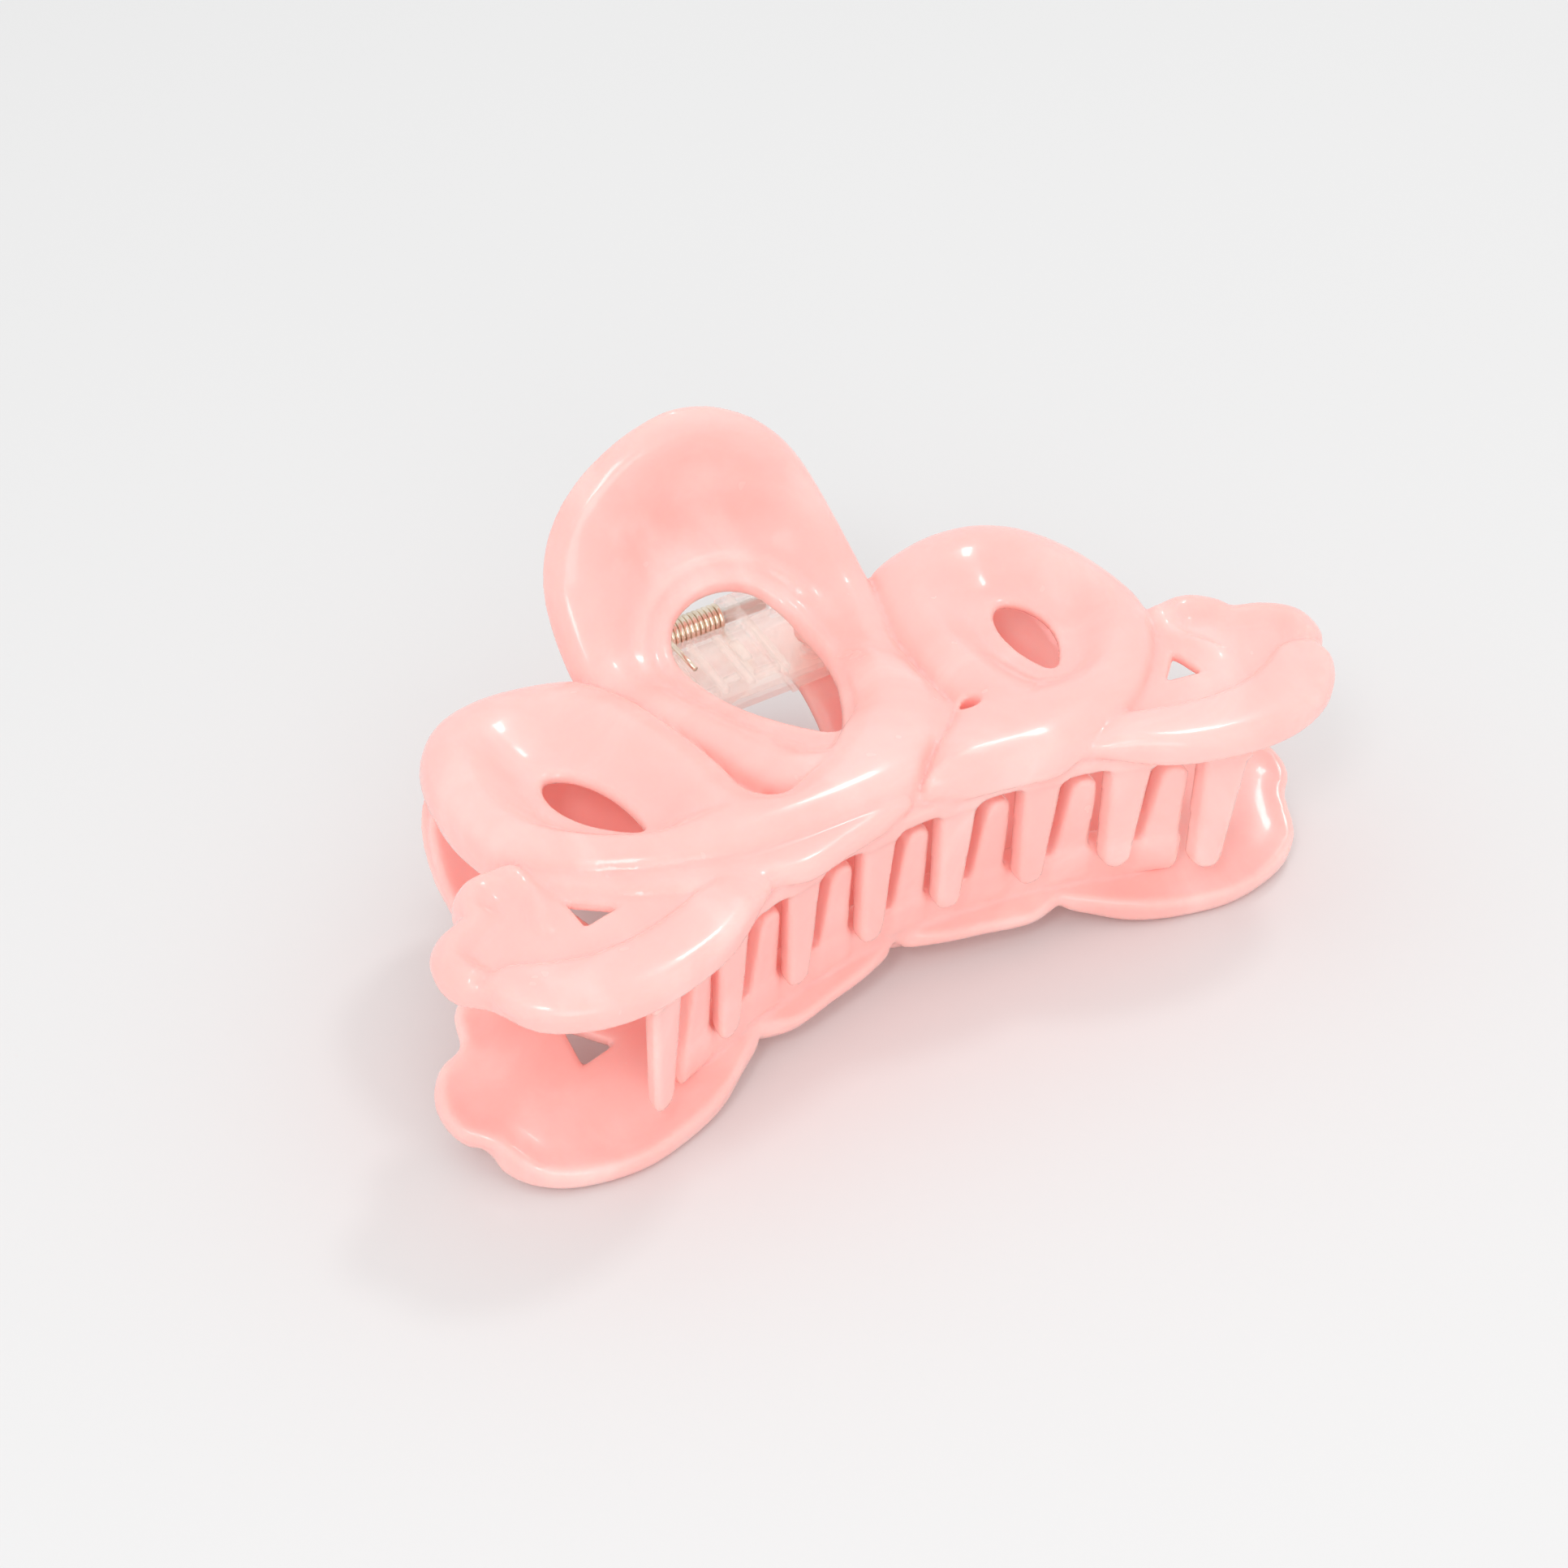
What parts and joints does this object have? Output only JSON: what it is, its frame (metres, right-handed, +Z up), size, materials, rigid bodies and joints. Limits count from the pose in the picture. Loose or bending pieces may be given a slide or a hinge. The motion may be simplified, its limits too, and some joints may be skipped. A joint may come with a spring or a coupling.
{
  "type": "claw hair clip",
  "caption": "Large sprung claw hair clip with two looped, leaf-ended moulded jaws, interleaving teeth, clear hinge brackets, a steel pin and a torsion spring.",
  "frame": {"origin": "centre of the footprint on the surface that the closed clip lies on", "axes": "+X along the hinge axis and the clip's length, +Z up from the surface, the teeth point to -Y and the handles to +Y"},
  "size_m": [0.1094, 0.0706, 0.0516],
  "materials": {
    "pink_plastic": "glossy moulded pastel pink",
    "clear_plastic": "clear moulded plastic",
    "steel": "polished steel",
    "spring_wire": "bright plated spring wire"
  },
  "bodies": {
    "lower": {"lower_jaw": "pink_plastic", "lower_hinge_bracket": "clear_plastic", "hinge_pin": "steel", "torsion_spring": "spring_wire"},
    "upper": {"upper_jaw": "pink_plastic", "upper_hinge_bracket": "clear_plastic"}
  },
  "joints": [
    {"name": "jaw_hinge", "type": "hinge", "parent": "lower", "child": "upper", "pos_m": [0, 0.02208, 0.02445], "axis": [-1, 0, 0], "range_deg": [0, 50], "stiffness_Nm_per_rad": 0.1, "springref_deg": -57.3, "deforming": ["torsion_spring"]}
  ]
}
